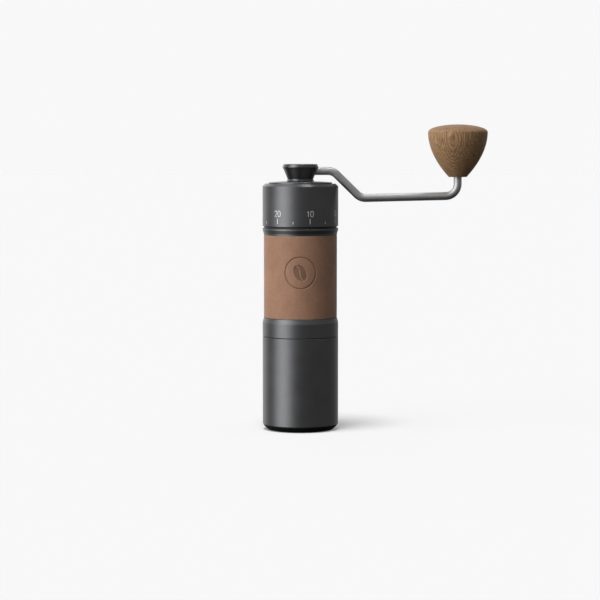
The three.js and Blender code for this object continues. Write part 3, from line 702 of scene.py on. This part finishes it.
def burr_housing():
    """The lower collar with the spigot that goes into the cup, and what is let into it."""
    body, spigot, bore = wide("burr_housing"), 25.5, 21.2
    bottom, top = ends("burr_housing")
    seam = high("grounds_cup") + SEAM_GAP
    socket, lip = 25.75, 23.4  # the tube stands in between
    socket_low, lip_high = 74, 82.6
    ledge, ledge_low = 17.2, 81.2  # what the ring burr stops against
    housing = lathe("housing", [
        (bore, bottom, 0.3),
        (spigot, bottom, 0.5),
        *notch(spigot, 24.3, 64.8, 66.6, 0.1),
        (spigot, seam, 0.2),
        (body, seam, 0.35),
        (body, top - 3.4, 0.5),
        (wide("leather_sleeve"), top, 0.15),
        (socket, top),
        (socket, socket_low),
        (lip, socket_low),
        (lip, lip_high),
        (ledge, ledge_low),
        (bore, ledge_low),
    ])
    holes = []
    for k in (1, 2, 3):
        name, magnet_r = f"cup_magnet_{k}", 1.5
        x, y = middle_of(name).xy
        holes.append(plug(magnet_r + 0.1, bottom - 1, high(name) + 0.1, x=x, y=y))
        magnet = lathe("magnet", [
            (0, low(name)),
            (magnet_r, low(name), 0.2),
            (magnet_r, high(name)),
            (0, high(name)),
        ], 32)
        stand_for(moved(magnet, x, y), name, "magnet")
    stand_for(cut(housing, *holes), "burr_housing", "coated_grey")

    middle = middle_of("cup_o_ring").z
    turn = np.linspace(0, tau, 16, endpoint=False)
    section = [(24.93 + 0.52 * cos(t), middle + 0.78 * sin(t), 0) for t in turn]
    stand_for(lathe("seal", section), "cup_o_ring", "black_rubber")

    outer = wide("burr_lock_ring")
    bottom, top = ends("burr_lock_ring")
    lock = lathe("lock", tube(outer - 1.5, outer, bottom, top), 144, 0.2)
    slot = box_object("slot", -30, 30, 3, bottom - 1, bottom + 1.5)
    stand_for(rounded_off(cut(lock, slot), 0.1), "burr_lock_ring", "steel")


# ---------- Burrs ----------

CONE = {"r": 18.6, "slope": 0.62, "teeth": 14, "groove": 0.86, "twist": 0.6}
RING = {"r": 19.2, "slope": 0.55, "teeth": 20, "groove": 1.05, "twist": -0.3}
BURR_BOTTOM = low("cone_burr")


def around(radius, angle, z):
    """Points round the main axis; the radius and the height may be one for all."""
    z = np.broadcast_to(z, angle.shape)
    return np.stack([radius * np.cos(angle), radius * np.sin(angle), z], axis=1)


def toothed_loop(spec, z, height, per_tooth=9):
    """One level of a toothed cone: steep at each tooth's face, easy along its back."""
    count = spec["teeth"] * per_tooth
    phase = np.arange(count) / per_tooth
    groove = spec["groove"]
    shape = np.interp(phase % 1, [0, 1 / 3, 2 / 3, 1], [1, 0.35 + 0.65 * groove, groove, 1])
    up = z - BURR_BOTTOM
    radius = shape * (spec["r"] - spec["slope"] * up)
    angle = phase * tau / spec["teeth"] + spec["twist"] * up / height
    return around(radius, angle, z)


def circle_loop(count, radius, z):
    return around(radius, np.arange(count) * tau / count, z)


def burrs():
    top = high("cone_burr")
    levels = np.linspace(BURR_BOTTOM, top, 22)
    loops = [toothed_loop(CONE, z, top - BURR_BOTTOM) for z in levels]
    bore = [circle_loop(len(loops[0]), 3.6, z) for z in (top, BURR_BOTTOM)]
    cone = skin("cone", [*loops, *bore], closed=True)
    stand_for(rounded_off(cone, 0.05, 30), "cone_burr", "burr_steel", 25)

    bottom, top = ends("ring_burr")
    height = top - BURR_BOTTOM + 2
    loops = [toothed_loop(RING, z, height) for z in np.linspace(top, bottom, 22)]
    wall = [circle_loop(len(loops[0]), wide("ring_burr"), z) for z in (bottom, top)]
    ring = skin("ring", [*loops, *wall], closed=True)
    stand_for(rounded_off(ring, 0.05, 30), "ring_burr", "burr_steel", 25)

    head = low("burr_screw")
    screw = lathe("screw", [
        (0, head),
        (4, head, 0.2),
        (4.4, head + 0.4, 0.2),
        (4.4, head + 2.6),
        (2, head + 2.6),
        (2, high("burr_screw")),
        (0, high("burr_screw")),
    ], 64)
    socket = prism("socket", hexagon(3), head - 1, head + 1.6)
    stand_for(cut(screw, socket), "burr_screw", "steel")


# ---------- Bearings, springs and snap rings ----------


def bearing_cage(name):
    """The cage's band with its balls."""
    middle = middle_of(name).z
    circle, ball_r, count = 6.05, 0.85, 7
    band = lathe("band", tube(circle - 0.3, circle + 0.3, middle - 0.6, middle + 0.6), 96, 0.1)
    balls = []
    for k in range(count):
        ball = lathe("ball", [
            (0, -ball_r, 0),
            *[(ball_r * cos(t), ball_r * sin(t), 0) for t in np.linspace(-1.45, 1.45, 11)],
            (0, ball_r, 0),
        ], 24)
        angle = k * tau / count
        balls.append(moved(ball, circle * cos(angle), circle * sin(angle), middle))
    return stand_for(join(band, *balls), name, "brass")


def helix(radius, z0, z1, turns, steps=36):
    """A closed and ground compression spring's line: flat at each end, rising in between."""
    t = np.linspace(0, 1, int(steps * turns) + 1)
    rise = np.clip((t - 0.08) / 0.84, 0, 1)
    height = z0 + (z1 - z0) * (rise * rise * (3 - 2 * rise) * 0.4 + rise * 0.6)
    angle = t * turns * tau
    return around(radius, angle, height)


def preload_spring():
    wire = 1.2
    z0, z1 = low("preload_spring") + wire / 2, high("preload_spring") - wire / 2
    coil = sweep("coil", helix(5.5, z0, z1, 4), wire / 2, 16, (0, 0, 1))
    stand_for(coil, "preload_spring", "spring_steel")
    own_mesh(coil)


def snap_ring(name, inner, outer, gap, x=0.0):
    """An open spring ring with its gap towards +X and round corners."""
    half = asin(gap / 2 / outer)
    angles = np.linspace(half, tau - half, 72)
    outside = [(outer * cos(a), outer * sin(a)) for a in angles]
    inside = [(inner * cos(a), inner * sin(a)) for a in angles[::-1]]
    made = prism(name, outside + inside, *ends(name))
    stand_for(rounded_off(moved(made, x), 0.1), name, "spring_steel")


def small_parts():
    """Bearing cages, springs and snap rings. The rest are already fine enough in the CAD."""
    bearing_cage("lower_bearing_cage")
    bearing_cage("upper_bearing_cage")
    preload_spring()
    snap_ring("spider_clip", 20.6, 22.8, 8)
    snap_ring("shaft_clip", 3.6, 5.9, 3)
    snap_ring("hub_clip", 5.6, 8, 4)
    snap_ring("knob_clip_1", 2.4, 4.8, 2.4, KNOB_X)
    snap_ring("knob_clip_2", 2.4, 4.8, 2.4, KNOB_X)
    kept = ["arm_pin", "collar_set_screw", "dial_keeper_ring", "detent_ball_1", "detent_ball_2"]
    for name in [*kept, "detent_spring_1", "detent_spring_2"]:
        slot = "spring_steel" if "spring" in name else "steel"
        made = frame["nodes"][name]
        made.data.materials.clear()
        made.data.materials.append(MATERIAL[slot])


# ---------- Castings and the shaft ----------

ARM_ANGLES = [radians(90 + 120 * k) for k in range(3)]
ARM_WIDTH = 5


def casting(name, hub, rim, arms):
    """A hub, a rim and three arms in one casting."""
    spokes = [box_object("spoke", *arms[:2], ARM_WIDTH, *arms[2:], angle) for angle in ARM_ANGLES]
    return join(lathe(name, hub, 96, 0.2), lathe("rim", rim, 144, 0.2), *spokes)


def castings():
    seat = wide("lower_bearing_outer") + 0.1
    hub_r, shoulder_r, arm_start = 10.6, 7.2, 9.5

    bearing = low("lower_bearing_outer")
    hub_low, shoulder = bearing - 0.8, bearing + 5.1
    hub = [
        (seat, hub_low),
        (hub_r, hub_low, 0.5),
        (hub_r, shoulder + 0.9, 0.5),
        (shoulder_r, shoulder + 0.9),
        (shoulder_r, shoulder),
        (seat, shoulder),
    ]
    rim_low, rim_high, rim_inner = low("lower_spider"), 99.5, 20.2
    rim = tube(rim_inner, wide("lower_spider"), rim_low, rim_high)
    spider = casting("spider", hub, rim, (arm_start, rim_inner + 0.8, hub_low, rim_high - 0.5))
    stand_for(rounded_off(spider, 0.3), "lower_spider", "bare_aluminium")

    bearing = low("upper_bearing_outer")
    hub_low, hub_high, shoulder = bearing - 1, bearing + 5.4, bearing - 0.1
    hub = [
        (shoulder_r, hub_low),
        (hub_r, hub_low, 0.5),
        (hub_r, hub_high, 0.4),
        (seat, hub_high),
        (seat, shoulder),
        (shoulder_r, shoulder),
    ]
    rim_low, rim_high, rim_inner = 169.2, high("bearing_carrier"), 21
    rim = tube(rim_inner, wide("bearing_carrier"), rim_low, rim_high)
    carrier = casting("carrier", hub, rim, (arm_start, rim_inner + 1, hub_low, 172.6))
    key_inner, key_outer = 22.75, 23.85
    key_low, key_high = low("bearing_carrier"), rim_low + 0.5
    keys = [
        box_object("key", key_inner, key_outer, ARM_WIDTH, key_low, key_high, angle)
        for angle in ARM_ANGLES
    ]
    stand_for(rounded_off(join(carrier, *keys), 0.25), "bearing_carrier", "bare_aluminium")


def drive_shaft():
    """The shaft: a hexagon for the cone burr, a round bar, and a hexagon for the crank's hub."""
    radius = 4
    bottom, top = ends("drive_shaft")
    shoulder, drive_low = high("cone_burr") + 0.1, 175.9
    clip = low("shaft_clip")
    bar = lathe("bar", [
        (0, shoulder),
        (radius, shoulder, 0.3),
        *notch(radius, 3.5, clip - 0.05, clip + 0.9),
        (radius, drive_low, 0.4),
        (0, drive_low),
    ], 64, 0.08)
    seat = prism("seat", hexagon(6), bottom, shoulder + 1)
    drive = prism("drive", hexagon(DRIVE_HEX), drive_low - 1, top)
    tapped = plug(2.2, bottom - 1, bottom + 10.4)
    shaft = cut(join(bar, seat, drive), tapped)
    stand_for(rounded_off(shaft, 0.2), "drive_shaft", "steel")


# ---------- Body tube, leather and index collar ----------


def body_tube():
    """The tube that holds the beans, slotted at the top for the carrier's arms."""
    bottom, top = ends("body_tube")
    outer, bore, socket = wide("body_tube"), 22.6, 23.6
    neck, neck_low = 23.9, 144.3
    made = lathe("tube", [
        (socket, bottom),
        (outer, bottom, 0.3),
        (outer, neck_low),
        (neck, neck_low),
        (neck, top, 0.3),
        (bore, top, 0.3),
        *notch(bore, 23.1, 92.8, 91.4),
        (bore, 84.6),
        (socket, 83.6),
    ])
    slot_low, slot_width = 159.6, ARM_WIDTH + 0.6
    slots = [
        box_object("slot", 20, outer, slot_width, slot_low, top + 1, angle)
        for angle in ARM_ANGLES
    ]
    stand_for(cut(made, *slots), "body_tube", "bare_aluminium")


def smooth_step(value, start, end):
    t = np.clip((value - start) / (end - start), 0, 1)
    return t * t * (3 - 2 * t)


BADGE = {"height": 117.6, "radius": 11.5, "line": 0.6, "depth": 0.3, "bean": (4.4, 6.6), "lean": 28}
SEAM_ANGLE = 180


def badge_stamp(u, v):
    """How far the stamp goes in, from 0 to 1, at u across and v up from the badge's middle: a
    ring, and in it a coffee bean with its crease left standing."""
    soft = 0.3
    from_ring = np.abs(np.hypot(u, v) - BADGE["radius"])
    ring = 1 - smooth_step(from_ring, BADGE["line"] / 2, BADGE["line"] / 2 + soft)
    lean = radians(BADGE["lean"])
    across = u * cos(lean) + v * sin(lean)
    along = v * cos(lean) - u * sin(lean)
    half, length = BADGE["bean"]
    inside = np.hypot(across / half, along / length)
    bean = 1 - smooth_step(inside, 1 - soft / half, 1.0)
    crease = 0.9 * np.sin(along / length * pi * 0.95)
    standing = 1 - smooth_step(np.abs(across - crease), 0.3, 0.3 + soft)
    return np.maximum(ring, bean * (1 - standing))


def leather_sleeve():
    """The sleeve, with the badge stamped into its front and a butt seam down the back."""
    z0, z1 = ends("leather_sleeve")
    outer, inner = wide("leather_sleeve"), 25.6
    fine = degrees(0.25 / outer)
    front = np.arange(-27, 27, fine)
    left_side, right_side = np.arange(182, 333, 4.0), np.arange(27, 178, 4.0)
    back = np.arange(178, 182, 0.25)
    angles = np.radians(np.concatenate([front, right_side, back, left_side]))
    reach = BADGE["radius"] + 1.2
    heights = np.concatenate([
        np.arange(z0 + 0.8, BADGE["height"] - reach, 2.0),
        np.arange(BADGE["height"] - reach, BADGE["height"] + reach, 0.25),
        np.arange(BADGE["height"] + reach, z1 - 0.8, 2.0),
    ])
    edge = 0.35
    turn = np.linspace(0, pi / 2, 5)
    wall = [(outer - edge + edge * sin(t), z0 + edge - edge * cos(t)) for t in turn]
    wall += [(outer, z) for z in heights]
    wall += [(outer - edge + edge * cos(t), z1 - edge + edge * sin(t)) for t in turn]
    wall += [(inner, z1), (inner, z0)]
    from_seam = np.abs((np.degrees(angles) - SEAM_ANGLE + 180) % 360 - 180)
    seam = 1 - smooth_step(from_seam * radians(1) * outer, 0.1, 0.45)
    across = np.where(angles > pi, 1e3, angles * outer)
    loops = []
    pressed = []
    for r, z in wall:
        stamp = badge_stamp(across, z - BADGE["height"]) if r > inner else np.zeros(len(angles))
        radius = r - BADGE["depth"] * stamp - (0.55 * seam if r > inner else 0.0)
        pressed.append(stamp)
        loops.append(around(radius, angles - pi / 2, z))
    made = skin("leather", loops, closed=True)
    shade_of = made.data.attributes.new("pressed", "FLOAT", "POINT")
    shade_of.data.foreach_set("value", np.concatenate(pressed).astype(np.float32))
    made.data.materials.append(MATERIAL["brown_leather"])
    made.data.materials.append(leather("cut_edge", (0.40, 0.285, 0.215), crease_depth=1.2e-4))
    for face in made.data.polygons:
        middle = face.center
        at_edge = min(abs(middle.z / MM - z0), abs(middle.z / MM - z1)) < 0.3
        face.material_index = 1 if at_edge else 0
    stand_for(made, "leather_sleeve", "brown_leather")


def index_collar():
    bottom, top = ends("index_collar")
    body = wide("index_collar") - PROUD
    inner = 24.05
    collar = lathe("collar", [
        (inner, bottom),
        (body - 0.85, bottom, 0.15),
        (body - 0.8, bottom + 1.1, 0.2),
        (body, top - 1.2, 0.3),
        (body, top, 0.3),
        (inner, top),
    ])
    pocket_r, pocket_low, pocket_x = 1.4, 145.6, 25.25
    pockets = [plug(pocket_r, pocket_low, top + 1, x=side * pocket_x) for side in (1, -1)]
    stand_for(cut(collar, *pockets), "index_collar", "coated_grey")


# ---------- Dial ----------

DIVISION = 360 / 70  # degrees
FRONT_READING = 12.85  # what the scale says at the front
INDEX_READING = 30


def angle_of(reading):
    return (FRONT_READING - reading) * DIVISION


def stroke(name, path, middle, height, radius, width=0.5, depth=0.12):
    """An inlaid line on the dial's wall. The path is in millimetres, across and up, about a
    point at the middle angle and that height."""
    path = np.asarray(path, float)
    closed = bool(np.allclose(path[0], path[-1]))
    if closed:
        path = path[:-1]
        before, after = np.roll(path, 1, axis=0), np.roll(path, -1, axis=0)
    else:
        before, after = np.vstack([path[:1], path[:-1]]), np.vstack([path[1:], path[-1:]])
    along = after - before
    along /= np.linalg.norm(along, axis=1)[:, None]
    out = np.stack([-along[:, 1], along[:, 0]], axis=1) * width / 2
    loops = []
    for point, offset in zip(path, out):
        corners = []
        for side, r in ((1, radius - depth), (1, radius), (-1, radius), (-1, radius - depth)):
            u, v = point + side * offset
            angle = radians(middle) + u / radius
            corners.append((r * sin(angle), -r * cos(angle), height + v))
        loops.append(corners)
    return skin(name, loops, closed)


def arc(cx, cy, rx, ry, start, end, steps=12):
    angles = np.radians(np.linspace(start, end, steps + 1))
    return [(cx + rx * cos(a), cy + ry * sin(a)) for a in angles]


# Each digit's strokes in a cell 0.5 wide and 1 high, with the pen's middle on the line.
DIGITS = {
    "0": [[*arc(0.25, 0.72, 0.25, 0.28, 0, 180), *arc(0.25, 0.28, 0.25, 0.28, 180, 360), (0.5, 0.72)]],
    "1": [[(0.08, 0.8), (0.28, 1.0), (0.28, 0.0)]],
    "2": [[*arc(0.25, 0.74, 0.24, 0.26, 170, -35), (0.02, 0.0), (0.52, 0.0)]],
    "3": [[*arc(0.24, 0.76, 0.23, 0.24, 150, -90)], [*arc(0.24, 0.26, 0.26, 0.26, 90, -150)]],
    "4": [[(0.52, 0.28), (0.0, 0.28), (0.36, 1.0), (0.36, 0.0)]],
    "5": [[(0.46, 1.0), (0.08, 1.0), (0.04, 0.56), *arc(0.24, 0.31, 0.26, 0.31, 110, -150)]],
    "6": [[
        (0.42, 1.0),
        *arc(0.34, 0.36, 0.32, 0.44, 130, 180, 4),
        *arc(0.26, 0.29, 0.25, 0.29, 180, 540, 20),
    ]],
}


def merged(name, pieces):
    """Joins pieces into one mesh object."""
    shape = bmesh.new()
    for piece in pieces:
        shape.from_mesh(piece.data)
        bpy.data.objects.remove(piece)
    mesh = bpy.data.meshes.new(name)
    shape.to_mesh(mesh)
    shape.free()
    return add(name, mesh)


def dial_marks():
    """Numbers at the tens and ticks at the fives, etched down to bright metal."""
    radius = wide("dial_ring")
    tick_foot, tick_width = low("dial_ring") + 2.3, 0.55
    long_tick, short_tick = 3.9, 1.7
    number_foot, number_height = tick_foot + 5.3, 4.2
    cell, advance = 0.5 * number_height, 0.68 * number_height
    pieces = []
    for reading in range(0, 70, 5):
        angle = angle_of(reading)
        tall = long_tick if reading % 10 == 0 else short_tick
        pieces.append(stroke("tick", [(0, 0), (0, tall)], angle, tick_foot, radius, tick_width))
        if reading % 10:
            continue
        text = str(reading)
        left = -(cell + advance * (len(text) - 1)) / 2
        for k, digit in enumerate(text):
            for path in DIGITS[digit]:
                placed = [(left + k * advance + x * number_height, y * number_height) for x, y in path]
                pieces.append(stroke("digit", placed, angle, number_foot, radius))
    made = merged("dial_marks", pieces)
    made.data.materials.append(ETCHED)
    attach(made, "dial")
    angle, foot = angle_of(INDEX_READING), high("index_collar") - 1.1
    index = stroke("index_mark", [(0, 0), (0, 1.0)], angle, foot, radius, tick_width)
    index.data.materials.append(ETCHED)
    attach(index, BODY_OF["index_collar"])


def face_up(made):
    """Gives a turned piece the streaked sheen on its upper faces."""
    made.data.materials.append(MATERIAL["coated_grey"])
    made.data.materials.append(TURNED_FACE)
    for face in made.data.polygons:
        face.material_index = 1 if face.normal.z > 0.3 else 0
    return made


def dial():
    """The dial's wall, and the ring that is screwed into its top and holds the lid."""
    bottom, top = ends("dial_ring")
    body, bore, ledge = wide("dial_ring") - PROUD, 26.1, 24.3
    bevel, ledge_top = 1.7, 155.2
    wall = lathe("dial", [
        (ledge, bottom),
        (body, bottom, 0.35),
        (body, top - bevel, 0.3),
        (body - bevel, top, 0.25),
        (bore, top, 0.05),
        (bore, ledge_top),
        (ledge, ledge_top),
    ])
    stand_for(face_up(wall), "dial_ring", "coated_grey")

    outer, seat, mouth = wide("dial_top_ring"), 23.75, 21.5
    bottom, seat_low = low("dial_top_ring"), 178.4
    ring = lathe("top_ring", [
        (mouth, bottom, 0.3),
        (outer, bottom),
        (outer, top, 0.1),
        (seat, top, 0.3),
        (seat, seat_low),
        (mouth, seat_low, 0.3),
    ])
    stand_for(face_up(ring), "dial_top_ring", "coated_grey")


# ---------- Lid and hub ----------


def lid():
    """The lid: a boss for the bush, a skirt for the seal and a slightly crowned plate."""
    bottom, top = ends("hopper_lid")
    boss, bore, bush_rim = 10.6, 8.1, 9.4
    skirt, skirt_inner, edge = 22.8, 20.6, wide("hopper_lid")
    boss_low, under = low("lid_bush"), 181.9
    cover = lathe("lid", [
        (bore, boss_low),
        (boss, boss_low, 0.3),
        (boss, under, 0.6),
        (skirt_inner, under, 0.6),
        (skirt_inner, bottom, 0.3),
        (skirt, bottom, 0.3),
        *notch(skirt, 22.2, 179.4, 181, 0.1),
        (skirt, under, 0.1),
        (edge, under, 0.15),
        (edge, top - 0.6, 0.4),
        (16.5, top - 0.1, 4),
        (bush_rim, top, 0.1),
        (bush_rim, top - 0.9, 0.1),
        (bore, top - 0.9, 0.1),
    ])
    stand_for(face_up(cover), "hopper_lid", "coated_grey")

    middle = middle_of("lid_seal").z
    outer, inner = wide("lid_seal"), 22.3
    seal = lathe("seal", [
        (inner, middle - 0.6),
        (outer - 0.35, middle - 0.6, 0.2),
        (outer, middle, 0.3),
        (outer - 0.35, middle + 0.6, 0.2),
        (inner, middle + 0.6),
    ])
    stand_for(seal, "lid_seal", "grey_silicone")

    inner, outer, rim = 6.5, bore - 0.1, wide("lid_bush")
    bush = lathe("bush", [
        (inner, boss_low),
        (outer, boss_low, 0.2),
        (outer, top - 0.8, 0.1),
        (rim, top - 0.8, 0.1),
        (rim, top - 0.08, 0.1),
        (inner, top - 0.08, 0.1),
    ])
    stand_for(bush, "lid_bush", "brass")


def crank_hub():
    """The hub, pinned to the rod, with its neck through the bush and its cap pressed in."""
    bottom, top = ends("crank_hub")
    neck, flange = 6.2, high("lid_bush") + 0.05
    clip, dish = low("hub_clip"), 10.5
    hub = lathe("hub", [
        (0, bottom),
        (neck, bottom, 0.2),
        *notch(neck, 5.5, clip - 0.05, clip + 0.75, 0.05),
        (neck, flange, 0.1),
        (9.9, flange, 0.1),
        (10.2, flange + 0.3, 0.2),
        (9.75, flange + 0.9, 0.2),
        (9.55, flange + 1.5, 0.6),
        (9.75, flange + 2.2, 2),
        (12.3, top - 4.3, 1.5),
        (13.3, top - 2.2, 0.6),
        (12.5, top - 0.2, 0.3),
        (12.2, top, 0.2),
        (dish, top, 0.2),
        (dish, top - 1.3, 0.1),
        (0, top - 1.3),
    ])
    socket_top = 191
    socket = prism("socket", hexagon(DRIVE_HEX + 0.3), bottom - 1, socket_top)
    bore = plug(ROD["r"] + 0.05, ROD["start"] - 0.2, 20, 48)
    bore.data.transform(Matrix.Rotation(pi / 2, 4, "Y"))
    moved(bore, z=ROD["z"])
    pin_bore = plug(PIN_HOLE_R, low("arm_pin") - 0.1, top - 0.4, 24, x=middle_of("arm_pin").x)
    stand_for(cut(hub, socket, bore, pin_bore), "crank_hub", "coated_black")

    rim = wide("hub_cap")
    bottom, top = ends("hub_cap")
    cap = lathe("cap", [
        (0, bottom),
        (rim, bottom),
        (rim, top, 0.25),
        (6, top - 0.15, 2),
        (0, top - 0.2),
    ])
    stand_for(cap, "hub_cap", "coated_black")


# ---------- Crank rod ----------

SHOULDER_X = 24.1  # the first bend's corner
SLOPE = radians(44.4)
ELBOW_Z = 171.5  # the second bend's corner
RISE = radians(1.4)


def crank_arm():
    """The rod, bent three times, with its hole for the pin and its grooves for the snap rings."""
    top = high("crank_arm")
    elbow_x = SHOULDER_X + (ROD["z"] - ELBOW_Z) / tan(SLOPE)
    heel_z = ELBOW_Z + (KNOB_X - elbow_x) * tan(RISE)
    line = [
        Vector((ROD["start"], 0, ROD["z"])),
        Vector((SHOULDER_X, 0, ROD["z"])),
        Vector((elbow_x, 0, ELBOW_Z)),
        Vector((KNOB_X, 0, heel_z)),
        Vector((KNOB_X, 0, top)),
    ]
    points = [line[0]]
    for k in (1, 2, 3):
        points += bend(line[k - 1], line[k], line[k + 1], ROD["bend"], 12)
    points.append(line[-1])
    rod = sweep("rod", points, ROD["r"], 40, (0, 1, 0))
    cutters = []
    for clip in ("knob_clip_1", "knob_clip_2"):
        groove = lathe("groove", tube(2.3, 4.5, low(clip) - 0.1, high(clip) + 0.1), 48, 0)
        cutters.append(moved(groove, KNOB_X))
    reach = 2 * ROD["r"]
    pin_x = middle_of("arm_pin").x
    cutters.append(plug(PIN_HOLE_R, ROD["z"] - reach, ROD["z"] + reach, 24, x=pin_x))
    stand_for(rounded_off(cut(rod, *cutters), 0.15, 60), "crank_arm", "brushed_rod")


# ---------- Knob ----------


def bezier(p0, p1, p2, p3, steps):
    t = np.linspace(0, 1, steps + 1)[:, None]
    p0, p1, p2, p3 = (np.asarray(p, float) for p in (p0, p1, p2, p3))
    return (1 - t) ** 3 * p0 + 3 * (1 - t) ** 2 * t * p1 + 3 * (1 - t) * t**2 * p2 + t**3 * p3


def crank_knob():
    """The knob: a full curve from its foot to its waist, under a low crown."""
    bottom, top = ends("crank_knob")
    foot, body, waist = 6.6, wide("crank_knob"), bottom + 33.1
    bore, bore_top = 5.4, 217.5
    side = bezier((foot, bottom), (foot + 12, bottom + 13), (body, waist - 8.5), (body, waist), 40)
    t = np.linspace(0, pi / 2, 22)[1:]
    crown = np.stack([body * np.cos(t), waist + (top - waist) * np.sin(t)], axis=1)
    outline = [(float(r), float(z), 0) for r, z in [*side, *crown[:-1]]]
    inside = [(0, bore_top), (bore, bore_top), (bore, bottom, 0.3)]
    corners = [*inside, (foot, bottom, 0.3), *outline[1:], (0, top)]
    knob = moved(lathe("knob", corners, 160, 0.2), KNOB_X)
    stand_for(knob, "crank_knob", "walnut", 60)


# ---------- The scene ----------

camera()
studio()
ground = floor()
MATERIAL = materials()
TURNED_FACE = metal("turned_face", COATED_GREY, 0.40, streak=0.9)
ETCHED = metal("etched_marks", (0.85, 0.85, 0.84), 0.55, metallic=0.6)

grounds_cup()
plain_rings()
burr_housing()
burrs()
small_parts()
castings()
drive_shaft()
body_tube()
leather_sleeve()
index_collar()
dial()
dial_marks()
lid()
crank_hub()
crank_arm()
crank_knob()
floor_light(ground)
